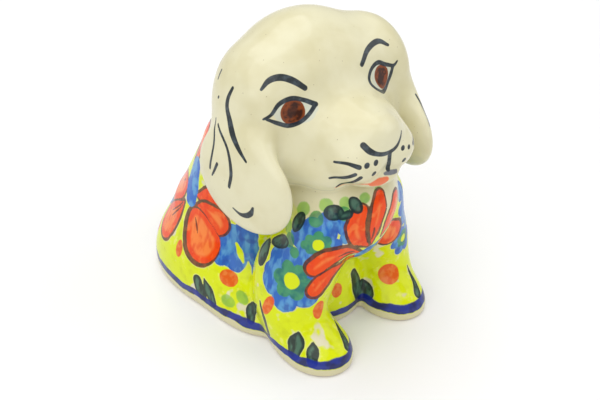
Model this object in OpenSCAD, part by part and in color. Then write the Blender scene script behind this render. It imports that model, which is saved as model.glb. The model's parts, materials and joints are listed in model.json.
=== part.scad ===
// Sitting puppy figurine in hand-painted stoneware, about 125 mm tall.
// It stands on z = 0 and faces -Y, with its own right side at -X.
// The forms are rounded lumps of clay melted into each other, each described by its distance
// function, and a solid is made by looking outwards from a point inside it in all directions.

/* [Size] */

// Scale of the whole figurine against its natural size
figurine_scale = 1; // [0.6:0.05:2]
// Thickness of the clay wall
wall_t = 4; // [3:0.5:6]

/* [Torso] */

// Radius of the trunk at the shoulders
trunk_top_r = 29.5; // [22:0.5:32]
// Radius of the trunk at the hips
trunk_low_r = 35; // [28:1:38]
// Half width, half depth and height of the rump
rump_size = [38, 37, 34]; // [20:1:45]
// Half width, half depth and half height of the chest
chest_size = [23, 24, 21]; // [15:1:30]

/* [Base] */

// Diameter of the firing vent in the floor
vent_d = 12; // [6:1:20]
// Distance of the vent behind the forelegs' rear plane
vent_back = 40; // [20:1:60]

/* [Head] */

// Half width, half depth and half height of the skull
skull_size = [30.5, 23.5, 27.5]; // [18:0.5:36]
// Half width, half depth and half height of the muzzle
muzzle_size = [15, 14, 10]; // [8:1:20]

/* [Ears] */

// Thickness, width and drop of an ear lobe, all halved
lobe_size = [6, 22, 17.5]; // [4:0.5:24]

/* [Legs] */

// Radius of a foreleg at the shoulder
shoulder_r = 13; // [10:0.5:16]
// Radius of a foreleg above the paw
ankle_r = 11.5; // [9:0.5:14]
// Half width, half length and height of a fore paw
paw_size = [13, 16.5, 12]; // [8:0.5:18]

/* [Surface] */

// Directions looked at around the largest solid
around = 44; // [24:4:80]

/* [Hidden] */

cream = [0.92, 0.89, 0.78];
yellow = [0.86, 0.87, 0.16];
orange = [0.90, 0.36, 0.14];
blue = [0.22, 0.42, 0.75];

neck_z = 68;         // the head is joined to the body in this plane
ear_x = 26;          // the ears are joined to the head in these planes
foreleg_y = -16;     // the forelegs are joined in front of this plane
foreleg_z = 44;      // and below this one
haunch_x = 20;       // the hind legs are joined outside these planes
haunch_z = 32;       // and below this one
step_x = [0, 2];     // the left foreleg stands a little further out
step_y = [-2, 3];    // and the right one further forward
middle_y = 16;       // half-way from the toes to the tail
search_r = 90;       // longer than any look outwards
halvings = 15;       // steps in which such a look finds the surface
margin = [6, 6, 6];   // how far the looks run past a piece's own box
far = 140;           // further than any surface

// ---- distance functions ----

// Distance to an ellipsoid with its centre at c and the half sizes r.
function lump(p, c, r) =
    let (q = [for (i = [0:2]) (p[i] - c[i]) / r[i]],
        k0 = norm(q),
        k1 = norm([for (i = [0:2]) q[i] / r[i]]))
    k1 < 0.0001 ? -min(r) : k0 * (k0 - 1) / k1;

// Distance to a round limb from a to b, with a radius at each end.
function limb(p, a, b, ra, rb) =
    let (along = b - a, t = min(1, max(0, (p - a) * along / (along * along))))
    norm(p - a - t * along) - ra - (rb - ra) * t;

// Two forms melted together over a seam of about k.
function melt(a, b, k) =
    let (h = min(1, max(0, 0.5 + (b - a) / (2 * k))))
    b + (a - b) * h - k * h * (1 - h);

function both_sides(p) = [abs(p.x), p.y, p.z];

// A point turned about X, then Y, then Z, backwards, into the frame of a tilted form.
function untilt(p, c, turn) =
    let (d = p - c,
        a = [d.x * cos(turn.z) + d.y * sin(turn.z), d.y * cos(turn.z) - d.x * sin(turn.z), d.z],
        b = [a.x * cos(turn.y) - a.z * sin(turn.y), a.y, a.z * cos(turn.y) + a.x * sin(turn.y)])
    [b.x, b.y * cos(turn.x) + b.z * sin(turn.x), b.z * cos(turn.x) - b.y * sin(turn.x)];

function neck(p) = limb(p, [0, 4, 62], [0, 0, 88], 23, 22);

function torso(p) =
    let (s = both_sides(p),
        trunk = limb(p, [0, 18, 55], [0, 28, 26], trunk_top_r, trunk_low_r),
        chest = melt(trunk, lump(p, [0, -18, 57], chest_size), 8),
        brisket = melt(chest, lump(p, [0, -17, 45], [15, 20, 14]), 8),
        rump = melt(brisket, lump(p, [0, 35, 6], rump_size), 10),
        corners = melt(rump, lump(s, [20, 40, 4], [18, 26, 22]), 8),
        haunches = melt(corners, lump(s, [24, 18, 6], [15, 32, 24]), 8),
        paws = melt(haunches, lump(s, [28, 4, 2], [9, 19, 9]), 5),
        belly = melt(paws, lump(p, [0, -6, 10], [22, 20, 34]), 6),
        nape = melt(belly, lump(p, [0, 19, 81], [19, 13, 12]), 10))
    melt(nape, neck(p), 8);

// side is -1 for the right foreleg and 1 for the left one.
function foreleg(p, side) =
    let (i = side < 0 ? 0 : 1,
        s = [p.x * side - step_x[i], p.y - step_y[i], p.z],
        shaft = limb(s, [13, -24, 52], [23.5, -20, 18], shoulder_r, ankle_r),
        elbow = melt(shaft, lump([s.x, p.y, p.z], [23.5, -15, 22], [10.5, 12, 24]), 6))
    melt(elbow, lump(s, [21, -30, 2], paw_size), 11);

// The torso with both forelegs.
function trunk_and_legs(p) = melt(melt(torso(p), foreleg(p, -1), 3), foreleg(p, 1), 3);

function face(p) =
    let (s = both_sides(p),
        skull = lump(p, [0, 1.5, 95.5], skull_size),
        brows = melt(skull, lump(s, [16, -5.5, 99.5], [14, 11.5, 13]), 11),
        cheeks = melt(brows, lump(s, [16, -11, 82], [15, 14, 15]), 7),
        jowls = melt(cheeks, lump(s, [11, -24, 77], [11, 13, 9]), 6),
        bridge = melt(jowls, lump(p, [0, -27, 88], [16.5, 15, 11]), 10),
        muzzle = melt(bridge, lump(p, [0, -30, 86], muzzle_size), 6),
        lips = melt(muzzle, lump(s, [7, -37, 83], [10, 9, 8.5]), 3),
        nose = melt(lips, lump(p, [0, -39, 91.5], [8.5, 6, 6]), 4))
    melt(nose, lump(p, [0, -36, 76], [11, 10, 4.5]), 1.5);

// Where an ear grows out of the skull. The left one was set a little wider and further forward.
function ear_root(p, side) =
    let (s = [p.x * side, p.y, p.z], c = side < 0 ? [24, 0, 99.5] : [29, -4.5, 100.8])
    lump(untilt(s, c, [0, -15, 0]), [0, 0, 0], [8, 14, 14]);

function ear(p, side) =
    let (s = [p.x * side, p.y, p.z],
        bend = side < 0 ? [31, -4, 88] : [32, -6, 90],
        fold = lump(untilt(s, bend, [0, -8, 0]), [0, 0, 0], [6, 15, 20]),
        lobe = lump(untilt(s, [36.5, -12, 73], [12, -6, -8]), [0, 0, 0], lobe_size))
    melt(melt(ear_root(p, side), fold, 8), lobe, 8);

// The head with both ears: the roots flow into the skull, the lobes hang clear of it.
function head_and_ears(p) =
    melt(melt(face(p), min(ear_root(p, -1), ear_root(p, 1)), 10), min(ear(p, -1), ear(p, 1)), 3);

function stub_tail(p) =
    melt(limb(p, [0, 62, 13], [6, 73, 9], 8, 6.5), limb(p, [6, 73, 9], [19, 72.5, 6.5], 6.5, 5), 3);

// ---- solids ----

// How far the surface of a form is from c in the direction u.
function reach(form, c, u, near, far, n) =
    let (mid = (near + far) / 2)
    n == 0 ? mid
    : form(c + u * mid) < 0 ? reach(form, c, u, mid, far, n - 1)
    : reach(form, c, u, near, mid, n - 1);

// How far the faces of the box from lo to hi are from c in the direction u.
function box_reach(c, u, lo, hi) =
    min([for (i = [0:2]) abs(u[i]) < 0.000001 ? far : ((u[i] > 0 ? hi[i] : lo[i]) - c[i]) / u[i]]);

// The solid of a form, seen from c: rings of points from the bottom to the top. The box from lo
// to hi bounds it, with a margin, so that the cut to the box itself leaves clean edges.
module seen_from(form, c, lo, hi, sides, rings) {
    looks = [
        [0, 0, -1],
        for (j = [1:rings - 1]) for (i = [0:sides - 1])
            let (up = 180 * j / rings - 90, turn = 360 * (i + 0.5) / sides)
            [cos(up) * cos(turn), cos(up) * sin(turn), sin(up)],
        [0, 0, 1]
    ];
    points = [for (u = looks)
        c + u * min(reach(form, c, u, 0, search_r, halvings),
            box_reach(c, u, lo - margin, hi + margin))];
    top = len(points) - 1;
    last = 1 + (rings - 2) * sides;
    faces = [
        for (i = [0:sides - 1]) [0, 1 + i, 1 + (i + 1) % sides],
        for (j = [0:rings - 3]) for (i = [0:sides - 1])
            let (a = 1 + j * sides + i, b = 1 + j * sides + (i + 1) % sides)
            each [[a, a + sides, b], [b, a + sides, b + sides]],
        for (i = [0:sides - 1]) [top, last + (i + 1) % sides, last + i]
    ];
    intersection() {
        polyhedron(points, faces, convexity = 6);
        translate(lo) cube(hi - lo);
    }
}

// Moves a piece from the coordinates of the forms to the figurine's own frame.
module placed() {
    scale(figurine_scale) translate([0, -middle_y, 0]) children();
}

module torso_solid() {
    seen_from(function(p) trunk_and_legs(p), [0, 12, 40], [-far, -far, 0], [far, far, neck_z],
        around, 28);
}

// The hollow inside the torso, which runs on into the head and the legs.
module torso_hollow() {
    seen_from(function(p) torso(p) + wall_t, [0, 16, 40], [-far, -22, wall_t],
        [far, far, neck_z + 1], 28, 16);
}

module head_solid() {
    seen_from(function(p) melt(head_and_ears(p), torso(p), 1.5), [0, -8, 90],
        [-ear_x, -far, neck_z], [ear_x, far, far], around, 32);
}

module head_hollow() {
    seen_from(function(p) melt(face(p), torso(p), 1.5) + wall_t, [0, -6, 88],
        [-ear_x + wall_t, -far, neck_z - 1], [ear_x - wall_t, far, far], 28, 18);
}

// side is -1 for the right leg and 1 for the left one.
module foreleg_solid(side) {
    difference() {
        seen_from(function(p) trunk_and_legs(p), [side * 19, -20.5, 20],
            [side < 0 ? -far : 0, -far, 0], [side < 0 ? 0 : far, foreleg_y, foreleg_z], 32, 20);
        torso_hollow();
    }
}

// The space of a hind leg's piece, from the forelegs' rear plane backwards.
module haunch_space(side) {
    translate([side < 0 ? -far - haunch_x : haunch_x, foreleg_y, -1])
        cube([far, 2 * far, haunch_z + 1]);
}

module hind_leg_solid(side) {
    difference() {
        intersection() {
            torso_solid();
            haunch_space(side);
        }
        torso_hollow();
    }
}

module ear_solid(side) {
    seen_from(function(p) head_and_ears(p), [side * 33, -7, 84],
        [side < 0 ? -far : ear_x, -far, 0], [side < 0 ? -ear_x : far, far, far + 60], 32, 22);
}

// ---- sub-parts ----

module body() {
    color(yellow) placed() difference() {
        torso_solid();
        torso_hollow();
        translate([-far, foreleg_y - 2 * far, -1]) cube([2 * far, 2 * far, foreleg_z + 1]);
        haunch_space(-1);
        haunch_space(1);
        translate([0, foreleg_y + vent_back, -1]) cylinder(h = wall_t + 2, d = vent_d, $fn = 64);
    }
}

module head() {
    color(cream) placed() difference() {
        head_solid();
        head_hollow();
    }
}

module right_ear() {
    color(cream) placed() ear_solid(-1);
}

module left_ear() {
    color(cream) placed() ear_solid(1);
}

module right_foreleg() {
    color(blue) placed() foreleg_solid(-1);
}

module left_foreleg() {
    color(orange) placed() foreleg_solid(1);
}

module right_hind_leg() {
    color(yellow) placed() hind_leg_solid(-1);
}

module left_hind_leg() {
    color(yellow) placed() hind_leg_solid(1);
}

module tail() {
    color(yellow) placed() difference() {
        seen_from(function(p) stub_tail(p), [6, 70, 9], [-far, -far, 0], [far, far, far],
            24, 14);
        torso_solid();
    }
}

body();
head();
right_ear();
left_ear();
right_foreleg();
left_foreleg();
right_hind_leg();
left_hind_leg();
tail();
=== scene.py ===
"""Looks of the sitting puppy figurine: one glazed stoneware casting in nine named pieces, with its
hand painting under a clear glaze, on a pale studio floor.

The sculpted form is the same set of melted lumps and limbs as in the CAD model, in the same
millimetres, but as one fine skin with soft transitions. Cutters part it into nine closed pieces,
one for each node of the CAD model. They are filled, without the CAD model's hollow, and the vent
is a blind hole. The painting is a list of brush marks, each a place on the form. Every vertex
keeps its distance to the nearest mark of each paint, and the materials turn those distances into
brushed colour.
"""

import json
import math

import bpy
import numpy as np
from mathutils import Matrix, Vector

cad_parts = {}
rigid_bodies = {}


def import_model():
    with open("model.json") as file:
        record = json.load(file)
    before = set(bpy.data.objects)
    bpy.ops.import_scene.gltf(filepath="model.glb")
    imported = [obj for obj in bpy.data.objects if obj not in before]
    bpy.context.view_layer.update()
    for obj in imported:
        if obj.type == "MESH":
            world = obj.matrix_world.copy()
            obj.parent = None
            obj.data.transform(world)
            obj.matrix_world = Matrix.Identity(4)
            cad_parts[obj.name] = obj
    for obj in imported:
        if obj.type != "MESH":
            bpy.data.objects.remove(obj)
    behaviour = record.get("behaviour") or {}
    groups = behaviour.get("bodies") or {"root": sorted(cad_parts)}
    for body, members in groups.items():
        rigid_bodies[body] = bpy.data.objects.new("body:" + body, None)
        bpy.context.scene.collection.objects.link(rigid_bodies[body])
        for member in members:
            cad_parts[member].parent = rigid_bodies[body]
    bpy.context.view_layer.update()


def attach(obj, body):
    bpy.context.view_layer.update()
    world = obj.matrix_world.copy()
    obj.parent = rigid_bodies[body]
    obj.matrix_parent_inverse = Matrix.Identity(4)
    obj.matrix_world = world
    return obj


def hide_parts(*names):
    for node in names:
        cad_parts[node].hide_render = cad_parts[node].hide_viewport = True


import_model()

MM = 0.001
RIGHT = -1               # the figurine's own right side, at -X
LEFT = 1
SIDES = (RIGHT, LEFT)
MIDDLE_Y = 16.0          # the forms' y at the middle of the figurine
GRID_STEP = 1.05
SKIN_LOW = (-48, -53, -3)
SKIN_HIGH = (48, 84, 127)
OFF_SKIN = 0.2           # a vertex further than this from the form, in mm, is on a cut face
SAME_WAY = 0.6           # the least cosine between the skin's faces and the form's normals
FAR = 60.0               # a distance that stands for "no mark near here", in mm
PAST_LINE = 4            # how far beyond a brush line its distance is kept
PAST_DAB = 5             # and beyond a dab
DAB_DEPTH = 4            # how much deeper than wide a dab is


# ---- the form: distance functions in millimetres, for arrays of points ----

def turned(rx, ry, rz):
    """The matrix of turns about X, then Y, then Z, in degrees."""
    return np.array(Matrix.Rotation(math.radians(rz), 3, "Z")
                    @ Matrix.Rotation(math.radians(ry), 3, "Y")
                    @ Matrix.Rotation(math.radians(rx), 3, "X"), np.float32)


def lump(p, c, r, turn=None):
    """Distance to an ellipsoid with its centre at c and the half sizes r."""
    q = p - np.array(c, np.float32)
    if turn is not None:
        q = q @ turned(*turn)
    r = np.array(r, np.float32)
    k0 = np.sqrt(((q / r) ** 2).sum(-1)) + 1e-9
    k1 = np.sqrt(((q / (r * r)) ** 2).sum(-1)) + 1e-9
    return k0 * (k0 - 1) / k1


def limb(p, a, b, ra, rb):
    """Distance to a round limb from a to b, with a radius at each end."""
    a = np.array(a, np.float32)
    along = np.array(b, np.float32) - a
    q = p - a
    t = np.clip(q @ along / max(float(along @ along), 1e-6), 0, 1)
    return np.sqrt(((q - t[..., None] * along) ** 2).sum(-1)) - ra - (rb - ra) * t


def melt(a, b, k):
    """Two forms melted together over a seam of about k."""
    h = np.clip(0.5 + 0.5 * (b - a) / k, 0, 1)
    return b * (1 - h) + a * h - k * h * (1 - h)


def one_side(p, side, out=0.0):
    """Points seen from one side of the figurine, where x grows outwards from out."""
    s = p.copy()
    s[..., 0] = s[..., 0] * side - out
    return s


def both_sides(p):
    s = p.copy()
    s[..., 0] = np.abs(s[..., 0])
    return s


def torso(p):
    s = both_sides(p)
    d = limb(p, (0, 18, 55), (0, 28, 26), 29.5, 35)
    d = melt(d, lump(p, (0, -18, 57), (23, 24, 21)), 8)
    d = melt(d, lump(p, (0, -17, 45), (15, 20, 14)), 8)
    d = melt(d, lump(p, (0, 35, 6), (38, 37, 34)), 10)
    d = melt(d, lump(s, (20, 40, 4), (18, 26, 22)), 8)
    d = melt(d, lump(s, (24, 18, 6), (15, 32, 24)), 8)
    d = melt(d, lump(s, (28, 4, 2), (9, 19, 9)), 5)
    d = melt(d, lump(p, (0, -6, 10), (22, 20, 34)), 6)
    d = melt(d, lump(p, (0, 19, 81), (19, 13, 12)), 10)
    return melt(d, limb(p, (0, 4, 62), (0, 0, 88), 23, 22), 8)


def foreleg(p, side, out, back):
    s = one_side(p, side, out)
    d = limb(s, (13, back - 24, 52), (23.5, back - 20, 18), 13, 11.5)
    d = melt(d, lump(s, (23.5, -15, 22), (10.5, 12, 24)), 6)
    return melt(d, lump(s, (21, back - 30, 2), (13, 16.5, 12)), 11)


def tail(p):
    first = limb(p, (0, 62, 13), (6, 73, 9), 8, 6.5)
    return melt(first, limb(p, (6, 73, 9), (19, 72.5, 6.5), 6.5, 5), 3)


def face(p):
    s = both_sides(p)
    d = lump(p, (0, 1.5, 95.5), (30.5, 23.5, 27.5))
    d = melt(d, lump(s, (16, -5.5, 99.5), (14, 11.5, 13)), 11)
    d = melt(d, lump(s, (16, -11, 82), (15, 14, 15)), 7)
    d = melt(d, lump(s, (11, -24, 77), (11, 13, 9)), 6)
    d = melt(d, lump(p, (0, -27, 88), (16.5, 15, 11)), 10)
    d = melt(d, lump(p, (0, -30, 86), (15, 14, 10)), 6)
    d = melt(d, lump(s, (7, -37, 83), (10, 9, 8.5)), 3)
    d = melt(d, lump(p, (0, -39, 91.5), (8.5, 6, 6)), 4)
    return melt(d, lump(p, (0, -36, 76), (11, 10, 4.5)), 1.5)


def ear_parts(p, side):
    """The root of an ear, and the whole ear that hangs from it."""
    s = one_side(p, side)
    root = lump(s, (24, 0, 99.5) if side < 0 else (29, -4.5, 100.8), (8, 14, 14), (0, -15, 0))
    bend = (31, -4, 88) if side < 0 else (32, -6, 90)
    fold = melt(root, lump(s, bend, (6, 15, 20), (0, -8, 0)), 8)
    return root, melt(fold, lump(s, (36.5, -12, 73), (6, 22, 17.5), (12, -6, -8)), 8)


def puppy(p):
    """Distance to the whole figurine, which is flat at z = 0 with a soft foot edge."""
    low = melt(torso(p), foreleg(p, RIGHT, out=0, back=-2), 3)
    low = melt(low, foreleg(p, LEFT, out=2, back=3), 3)
    low = melt(low, tail(p), 3)
    right_root, right_ear = ear_parts(p, RIGHT)
    left_root, left_ear = ear_parts(p, LEFT)
    high = melt(face(p), np.minimum(right_root, left_root), 10)
    high = melt(high, np.minimum(right_ear, left_ear), 3)
    return -melt(-melt(low, high, 1.5), p[..., 2], 2)


def slope(p, step=0.25):
    """The gradient of the figurine's distance, which is its normal near the surface."""
    g = np.empty_like(p)
    for axis in range(3):
        shift = np.zeros(3, np.float32)
        shift[axis] = step
        g[..., axis] = (puppy(p + shift) - puppy(p - shift)) / (2 * step)
    return g


def settle(p, rounds):
    """Moves points onto the surface."""
    for _ in range(rounds):
        g = slope(p)
        p = p - g * (puppy(p) / np.maximum((g * g).sum(-1), 0.05))[..., None]
    return p.astype(np.float32)


# ---- the skin: a net of quads around the form ----

def skin(low, high, step):
    """Corner points and outward quads of a net around the form (naive surface nets)."""
    axes = [np.arange(l, h + step, step, dtype=np.float32) for l, h in zip(low, high)]
    field = np.stack([puppy(np.stack(np.meshgrid(axes[0][i:i + 1], axes[1], axes[2],
                                                 indexing="ij"), -1))[0]
                      for i in range(len(axes[0]))])
    cells = tuple(n - 1 for n in field.shape)
    total = np.zeros(cells + (3,), np.float32)
    count = np.zeros(cells, np.float32)

    def cut(axis, side):
        return tuple(slice(side, side - 1 or None) if k == axis else slice(None) for k in range(3))

    for axis in range(3):
        a, b = field[cut(axis, 0)], field[cut(axis, 1)]
        crosses = (a < 0) != (b < 0)
        share = np.where(crosses, a / np.where(crosses, a - b, 1), 0)
        others = [k for k in range(3) if k != axis]
        for d0 in (0, 1):
            for d1 in (0, 1):
                window = [slice(0, n) for n in cells]
                window[others[0]] = slice(d0, d0 + cells[others[0]])
                window[others[1]] = slice(d1, d1 + cells[others[1]])
                here = crosses[tuple(window)]
                count += here
                total[..., axis] += here * share[tuple(window)]
                total[..., others[0]] += here * d0
                total[..., others[1]] += here * d1
    active = count > 0
    number = -np.ones(cells, np.int64)
    number[active] = np.arange(active.sum())
    corner = np.argwhere(active).astype(np.float32) + total[active] / count[active][:, None]
    points = np.array(low, np.float32) + step * corner
    quads = []
    for axis in range(3):
        others = [k for k in range(3) if k != axis]
        inner = [slice(1, -1)] * 3
        outer = [slice(1, -1)] * 3
        inner[axis] = slice(0, -1)
        outer[axis] = slice(1, None)
        a, b = field[tuple(inner)] < 0, field[tuple(outer)] < 0
        for leaving in (True, False):
            at = np.argwhere((a & ~b) if leaving else (~a & b))
            at[:, others] += 1
            ring = []
            for d0, d1 in ((-1, -1), (0, -1), (0, 0), (-1, 0)):
                q = at.copy()
                q[:, others[0]] += d0
                q[:, others[1]] += d1
                ring.append(number[q[:, 0], q[:, 1], q[:, 2]])
            quad = np.stack(ring, 1)
            quads.append(quad[:, ::-1] if leaving == (axis == 1) else quad)
    return points, np.concatenate(quads)


def halved(points, quads):
    """Every quad split into four."""
    a, b = quads, np.roll(quads, -1, axis=1)
    key = np.minimum(a, b) * len(points) + np.maximum(a, b)
    edges, where = np.unique(key, return_inverse=True)
    where = where.reshape(key.shape) + len(points)
    middles = (points[edges // len(points)] + points[edges % len(points)]) / 2
    centres = points[quads].mean(1)
    centre = np.arange(len(quads)) + len(points) + len(edges)
    split = [np.stack([quads[:, k], where[:, k], centre, where[:, k - 1]], 1) for k in range(4)]
    return np.concatenate([points, middles, centres]), np.concatenate(split)


def to_frame(p):
    """From the forms' millimetres to the figurine's frame in metres."""
    return (p - np.array([0, MIDDLE_Y, 0])) * MM


def to_forms(p):
    return (p / MM + np.array([0, MIDDLE_Y, 0])).astype(np.float32)


def mesh_object(name, points, faces):
    mesh = bpy.data.meshes.new(name)
    mesh.from_pydata(points.tolist(), [], faces.tolist() if hasattr(faces, "tolist") else faces)
    obj = bpy.data.objects.new(name, mesh)
    bpy.context.scene.collection.objects.link(obj)
    return obj


def prism(name, outline, low, high, axis):
    """A cutter: an outline of two coordinates, drawn out along the third axis. In millimetres."""
    n = len(outline)
    points = []
    for level in (low, high):
        for u, v in outline:
            at = [u, v]
            at.insert("xyz".index(axis), level)
            points.append(at)
    faces = [list(range(n))[::-1], list(range(n, 2 * n))]
    faces += [[i, (i + 1) % n, n + (i + 1) % n, n + i] for i in range(n)]
    obj = mesh_object(name, to_frame(np.array(points, float)), faces)
    mesh = obj.data
    volume = sum(facet.center.dot(facet.normal * facet.area) for facet in mesh.polygons)
    if volume < 0:
        mesh.flip_normals()
    return obj


def boolean(obj, cutter, operation):
    step = obj.modifiers.new(operation.lower(), "BOOLEAN")
    step.solver = "MANIFOLD"
    step.operation = operation
    step.object = cutter


# ---- the pieces: the skin parted into one piece for each CAD node ----
#
# The neck, foreleg and haunch planes are the CAD model's. The ears and the tail are parted a
# little differently, because there the whole skin has the body in the way.

WIDE = 200.0
NECK_Z = 68.0
EAR_X = 26.0
LOBE_X = 29.75
LOBE_Z = 50.0
EAR_BACK_Y = 13.0
FORELEG_Y = -16.0
FORELEG_Z = 44.0
HAUNCH_X = 20.0
HAUNCH_Z = 32.0
VENT_R = 6.0
VENT_Y = 24.0
VENT_DEEP = 22.0
TAIL_TOP_Z = 40.0
VENT_SIDES = 64

points, quads = skin(SKIN_LOW, SKIN_HIGH, GRID_STEP)
points, quads = halved(points, quads)
points = settle(points, rounds=2)
whole = mesh_object("whole_skin", to_frame(points), quads)


def box_outline(u0, v0, u1, v1):
    return [(u0, v0), (u1, v0), (u1, v1), (u0, v1)]


def side_outline(side, x, y0, y1):
    """A box from the plane at x outwards, on one side."""
    x0, x1 = sorted((side * x, side * WIDE))
    return box_outline(x0, y0, x1, y1)


def ear_outline(side):
    """From the head's side plane outwards, and below the neck from further out."""
    x_in, x_out, x_far = EAR_X * side, LOBE_X * side, WIDE * side
    return [(x_in, WIDE), (x_in, NECK_Z), (x_out, NECK_Z), (x_out, LOBE_Z), (x_far, LOBE_Z),
            (x_far, WIDE)]


# Behind the rump's rear face, seen from above.
TAIL_OUTLINE = [(-30, 72.4), (6, 72.0), (16, 69.6), (26, 65.6), (40, 58), (60, 100), (-30, 100)]

cut_head = prism("cut_head", box_outline(-EAR_X, -WIDE, EAR_X, WIDE), NECK_Z, WIDE, "z")
cut_ears = {s: prism("cut_ear", ear_outline(s), -WIDE, WIDE, "y") for s in SIDES}
cut_forelegs = {s: prism("cut_foreleg", side_outline(s, 0, -WIDE, FORELEG_Y),
                         -WIDE, FORELEG_Z, "z") for s in SIDES}
cut_lobes = {s: prism("cut_lobe", side_outline(s, LOBE_X, -WIDE, EAR_BACK_Y),
                      LOBE_Z, NECK_Z + 1, "z") for s in SIDES}
cut_flank = prism("cut_flank", box_outline(-WIDE, EAR_BACK_Y, WIDE, WIDE), -WIDE, NECK_Z, "z")
cut_haunches = {s: prism("cut_haunch", side_outline(s, HAUNCH_X, FORELEG_Y, WIDE),
                         -WIDE, HAUNCH_Z, "z") for s in SIDES}
cut_both_forelegs = prism("cut_both_forelegs", box_outline(-WIDE, -WIDE, WIDE, FORELEG_Y),
                          -WIDE, FORELEG_Z, "z")
cut_low = prism("cut_low", box_outline(-WIDE, -WIDE, WIDE, WIDE), -WIDE, NECK_Z, "z")
cut_tail = prism("cut_tail", TAIL_OUTLINE, -WIDE, TAIL_TOP_Z, "z")
vent_outline = [(VENT_R * math.cos(a), VENT_Y + VENT_R * math.sin(a))
                for a in np.linspace(0, 2 * math.pi, VENT_SIDES + 1)[:-1]]
cut_vent = prism("cut_vent", vent_outline, -WIDE, VENT_DEEP, "z")

PIECES = {
    "head_form": ("head", [(cut_head, "INTERSECT")]),
    "right_ear_form": ("right_ear", [(cut_ears[RIGHT], "INTERSECT"), (cut_flank, "DIFFERENCE")]),
    "left_ear_form": ("left_ear", [(cut_ears[LEFT], "INTERSECT"), (cut_flank, "DIFFERENCE")]),
    "right_foreleg_form": ("right_foreleg", [(cut_forelegs[RIGHT], "INTERSECT")]),
    "left_foreleg_form": ("left_foreleg", [(cut_forelegs[LEFT], "INTERSECT")]),
    "right_hind_leg_form": ("right_hind_leg", [(cut_haunches[RIGHT], "INTERSECT"),
                                               (cut_tail, "DIFFERENCE")]),
    "left_hind_leg_form": ("left_hind_leg", [(cut_haunches[LEFT], "INTERSECT"),
                                             (cut_tail, "DIFFERENCE")]),
    "tail_form": ("tail", [(cut_tail, "INTERSECT")]),
    "body_form": ("body", [(cut_low, "INTERSECT"), (cut_lobes[RIGHT], "DIFFERENCE"),
                           (cut_lobes[LEFT], "DIFFERENCE"), (cut_both_forelegs, "DIFFERENCE"),
                           (cut_haunches[RIGHT], "DIFFERENCE"), (cut_haunches[LEFT], "DIFFERENCE"),
                           (cut_tail, "DIFFERENCE"), (cut_vent, "DIFFERENCE")]),
}


def cut_piece(name, cuts):
    """A copy of the whole skin, cut to one piece, as its own closed mesh."""
    obj = bpy.data.objects.new(name, whole.data.copy())
    bpy.context.scene.collection.objects.link(obj)
    for cutter, operation in cuts:
        boolean(obj, cutter, operation)
    ready = obj.evaluated_get(bpy.context.evaluated_depsgraph_get())
    mesh = bpy.data.meshes.new_from_object(ready)
    obj.modifiers.clear()
    obj.data = mesh
    mesh.name = name
    return obj


def soft_normals(mesh):
    """Gives the outer skin the form's own normals, so that no seam shows between the pieces, and
    returns the vertices' places on the form."""
    co = np.empty(len(mesh.vertices) * 3, np.float32)
    mesh.vertices.foreach_get("co", co)
    at = to_forms(co.reshape(-1, 3))
    normal = slope(at)
    normal /= np.maximum(np.linalg.norm(normal, axis=1, keepdims=True), 1e-6)
    corner_vertex = np.empty(len(mesh.loops), np.int32)
    mesh.loops.foreach_get("vertex_index", corner_vertex)
    starts = np.empty(len(mesh.polygons), np.int32)
    counts = np.empty(len(mesh.polygons), np.int32)
    mesh.polygons.foreach_get("loop_start", starts)
    mesh.polygons.foreach_get("loop_total", counts)
    flat = np.empty(len(mesh.polygons) * 3, np.float32)
    mesh.polygons.foreach_get("normal", flat)
    flat = np.repeat(flat.reshape(-1, 3), counts, axis=0)
    order = np.concatenate([np.arange(s, s + c) for s, c in zip(starts, counts)])
    face_normal = np.empty_like(flat)
    face_normal[order] = flat
    corner_normal = normal[corner_vertex]
    off_skin = np.abs(puppy(at))[corner_vertex] > OFF_SKIN
    turned_away = (corner_normal * face_normal).sum(1) < SAME_WAY
    use_face = off_skin | turned_away
    corner_normal[use_face] = face_normal[use_face]
    mesh.polygons.foreach_set("use_smooth", np.ones(len(mesh.polygons), bool))
    mesh.normals_split_custom_set(corner_normal.tolist())
    return at


# ---- the painting: brush marks on the form, in its millimetres ----
#
# The places on the face, the ears, the right flank, the chest and the forelegs come from points
# of the photograph that a scratch script cast onto this form; some were then moved by hand. The
# places on the left side and the back were chosen.

PAINTS = ("ink", "iris", "eye_white", "tongue", "lip", "blue", "green", "lime", "orange", "brown",
          "leaf", "dot", "centre", "heart")
marks = []               # (paint, centre, reach, distance function), or two functions for a petal


def on_skin(p):
    return settle(np.array(p, np.float32).reshape(-1, 3), rounds=6)


def spaced(path, values, count):
    """A smooth line through the points of a path, with values that change along it."""
    path = np.array(path, float)
    shares = np.linspace(0, 1, count)
    widths = np.interp(shares, np.linspace(0, 1, len(values)), np.array(values, float))
    if len(path) == 2:
        return path[0] * (1 - shares[:, None]) + path[1] * shares[:, None], widths
    ends = np.concatenate([[2 * path[0] - path[1]], path, [2 * path[-1] - path[-2]]])
    made = []
    for t in np.linspace(0, len(path) - 1, count):
        i = min(int(t), len(path) - 2)
        f = t - i
        a, b, c, d = ends[i:i + 4]
        made.append(0.5 * (2 * b + (c - a) * f + (2 * a - 5 * b + 4 * c - d) * f * f
                           + (3 * b - a - 3 * c + d) * f ** 3))
    return np.array(made), widths


def brush_line(path, radii, count=None):
    """Distance function of a brush line on the skin, with its centre, reach and points."""
    count = count or max(6, 4 * len(path))
    line, widths = spaced(path, radii, count)
    line = on_skin(line)
    widths = widths.astype(np.float32)
    middle = line.mean(0)
    reach = float(np.linalg.norm(line - middle, axis=1).max() + widths.max()) + PAST_LINE

    def distance(p):
        d = np.full(len(p), FAR, np.float32)
        for a, b, ra, rb in zip(line[:-1], line[1:], widths[:-1], widths[1:]):
            d = np.minimum(d, limb(p, a, b, ra, rb))
        return d

    return distance, middle, reach, line


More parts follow.
